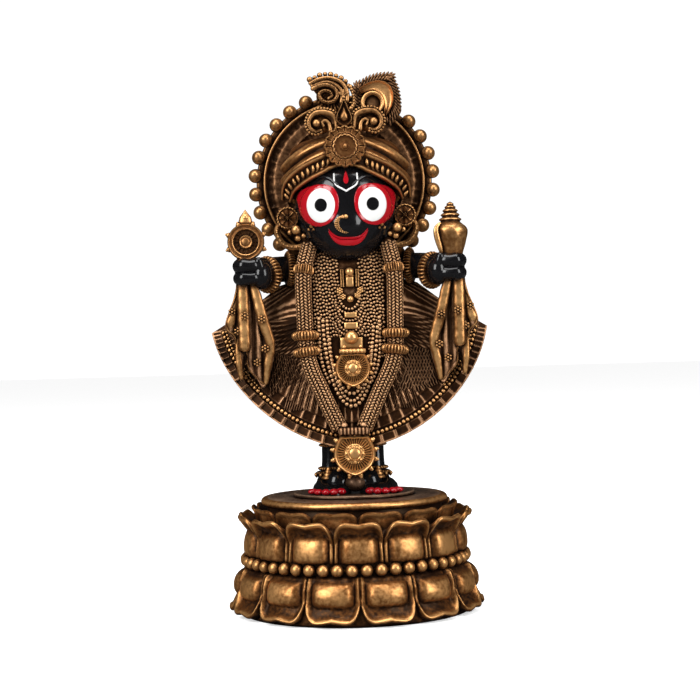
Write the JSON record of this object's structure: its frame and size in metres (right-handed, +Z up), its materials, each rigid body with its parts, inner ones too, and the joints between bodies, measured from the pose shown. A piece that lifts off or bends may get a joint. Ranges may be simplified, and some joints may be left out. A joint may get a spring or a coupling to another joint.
{
  "type": "jagannath figure",
  "caption": "Standing Jagannath figure with a beaded halo, discus, conch and pleated skirt, on a round double-lotus plinth.",
  "frame": {"origin": "middle of the plinth's flat underside", "axes": "+Z up, the figure faces -Y, +X to the viewer's right"},
  "size_m": [0.0924, 0.0854, 0.18],
  "materials": {
    "antique_gold": "antique gold paint over dark resin, rubbed bright on what stands out",
    "black_gloss": "gloss black paint",
    "red_paint": "red paint",
    "white_paint": "white paint"
  },
  "bodies": {
    "root": {"lotus_plinth": "antique_gold", "jagannath_figure": "antique_gold"}
  },
  "joints": []
}
